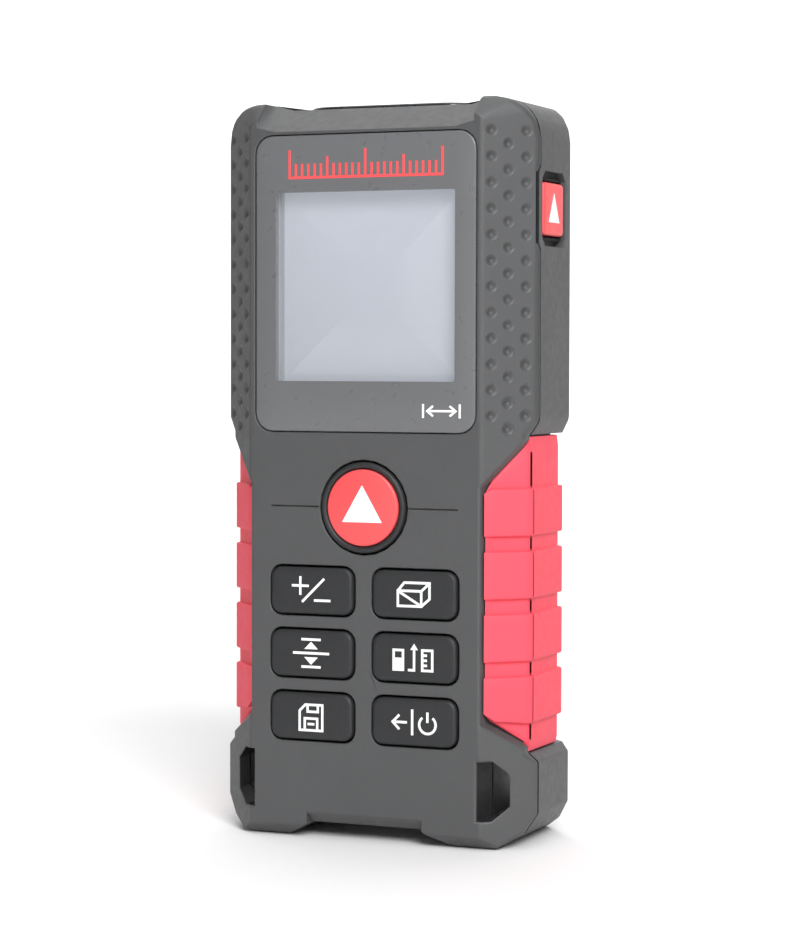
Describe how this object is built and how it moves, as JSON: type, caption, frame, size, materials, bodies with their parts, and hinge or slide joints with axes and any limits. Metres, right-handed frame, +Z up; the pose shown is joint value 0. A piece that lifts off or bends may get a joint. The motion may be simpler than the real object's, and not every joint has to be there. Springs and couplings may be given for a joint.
{
  "type": "laser distance meter",
  "caption": "Handheld laser distance meter with a display, a round measure key, function keys, a side key, soft red side grips and a hinged battery door.",
  "frame": {"origin": "middle of the footprint, on the surface that the feet stand on", "axes": "+Z up along the long axis towards the optics, -Y out of the display and keys, +X towards the side key"},
  "size_m": [0.054, 0.0286, 0.118],
  "materials": {
    "housing_plastic": "fine spark-eroded grain, satin",
    "grip_rubber": "smooth moulded soft grip, satin",
    "display_window": "gloss, printed from behind",
    "lcd_glass": "smooth, reflective behind the window",
    "light_guide": "translucent white moulding",
    "key_rubber": "fine matte, soft edges",
    "red_plastic": "satin",
    "black_rubber": "matte",
    "black_plastic": "satin black",
    "bezel_plastic": "semi-gloss black",
    "circuit_board": "green solder mask",
    "aluminium": "as cast",
    "brass": "turned",
    "steel": "zinc plated",
    "optical_glass": "coated, polished",
    "battery_jacket": "shrink sleeve",
    "red_lead": "smooth insulation",
    "label_plate": "blank printed plate"
  },
  "bodies": {
    "body": {"front_housing": "housing_plastic", "rear_housing": "housing_plastic", "front_grip_left": "grip_rubber", "rear_grip_left": "grip_rubber", "front_grip_right": "grip_rubber", "rear_grip_right": "grip_rubber", "display_window": "display_window", "display_frame": "light_guide", "lcd_panel": "lcd_glass", "backlight_panel": "light_guide", "display_ribbon": "brass", "measure_switch": "black_plastic", "key_mat": "black_rubber", "side_key_seal": "black_rubber", "side_switch": "black_plastic", "side_board": "circuit_board", "main_board": "circuit_board", "processor_chip": "black_plastic", "buzzer": "black_plastic", "optics_chassis": "aluminium", "receiver_lens": "optical_glass", "collimator_lens": "optical_glass", "receiver_window": "optical_glass", "emitter_window": "optical_glass", "laser_barrel": "brass", "detector_can": "steel", "optics_bezel": "bezel_plastic", "battery_cell_left": "battery_jacket", "battery_spring_left": "steel", "contact_plate_left": "steel", "battery_cell_right": "battery_jacket", "battery_spring_right": "steel", "contact_plate_right": "steel", "battery_lead_positive": "red_lead", "battery_lead_negative": "black_rubber", "housing_screw_top_left": "steel", "housing_screw_top_right": "steel", "housing_screw_bottom_left": "steel", "housing_screw_bottom_right": "steel", "board_screw_left": "steel", "board_screw_right": "steel", "rear_label": "label_plate"},
    "measure_key": {"measure_key": "key_rubber", "measure_key_cap": "red_plastic", "measure_switch_plunger": "steel"},
    "plus_minus_key": {"plus_minus_key": "key_rubber", "plus_minus_contact_pill": "black_rubber"},
    "max_min_key": {"max_min_key": "key_rubber", "max_min_contact_pill": "black_rubber"},
    "memory_key": {"memory_key": "key_rubber", "memory_contact_pill": "black_rubber"},
    "area_volume_key": {"area_volume_key": "key_rubber", "area_volume_contact_pill": "black_rubber"},
    "reference_unit_key": {"reference_unit_key": "key_rubber", "reference_unit_contact_pill": "black_rubber"},
    "clear_power_key": {"clear_power_key": "key_rubber", "clear_power_contact_pill": "black_rubber"},
    "side_key": {"side_key": "red_plastic", "side_switch_plunger": "steel"},
    "battery_door": {"battery_door": "housing_plastic"}
  },
  "joints": [
    {"name": "measure_key_press", "type": "slide", "parent": "body", "child": "measure_key", "axis": [0, 1, 0], "range_m": [0, 0.0006], "stiffness_N_per_m": 900},
    {"name": "plus_minus_key_press", "type": "slide", "parent": "body", "child": "plus_minus_key", "axis": [0, 1, 0], "range_m": [0, 0.0006], "stiffness_N_per_m": 700},
    {"name": "max_min_key_press", "type": "slide", "parent": "body", "child": "max_min_key", "axis": [0, 1, 0], "range_m": [0, 0.0006], "stiffness_N_per_m": 700},
    {"name": "memory_key_press", "type": "slide", "parent": "body", "child": "memory_key", "axis": [0, 1, 0], "range_m": [0, 0.0006], "stiffness_N_per_m": 700},
    {"name": "area_volume_key_press", "type": "slide", "parent": "body", "child": "area_volume_key", "axis": [0, 1, 0], "range_m": [0, 0.0006], "stiffness_N_per_m": 700},
    {"name": "reference_unit_key_press", "type": "slide", "parent": "body", "child": "reference_unit_key", "axis": [0, 1, 0], "range_m": [0, 0.0006], "stiffness_N_per_m": 700},
    {"name": "clear_power_key_press", "type": "slide", "parent": "body", "child": "clear_power_key", "axis": [0, 1, 0], "range_m": [0, 0.0006], "stiffness_N_per_m": 700},
    {"name": "side_key_press", "type": "slide", "parent": "body", "child": "side_key", "axis": [-1, 0, 0], "range_m": [0, 0.0005], "stiffness_N_per_m": 900},
    {"name": "battery_door_swing", "type": "hinge", "parent": "body", "child": "battery_door", "pos_m": [0, 0.0143, 0.017], "axis": [-1, 0, 0], "range_deg": [0, 80]}
  ]
}
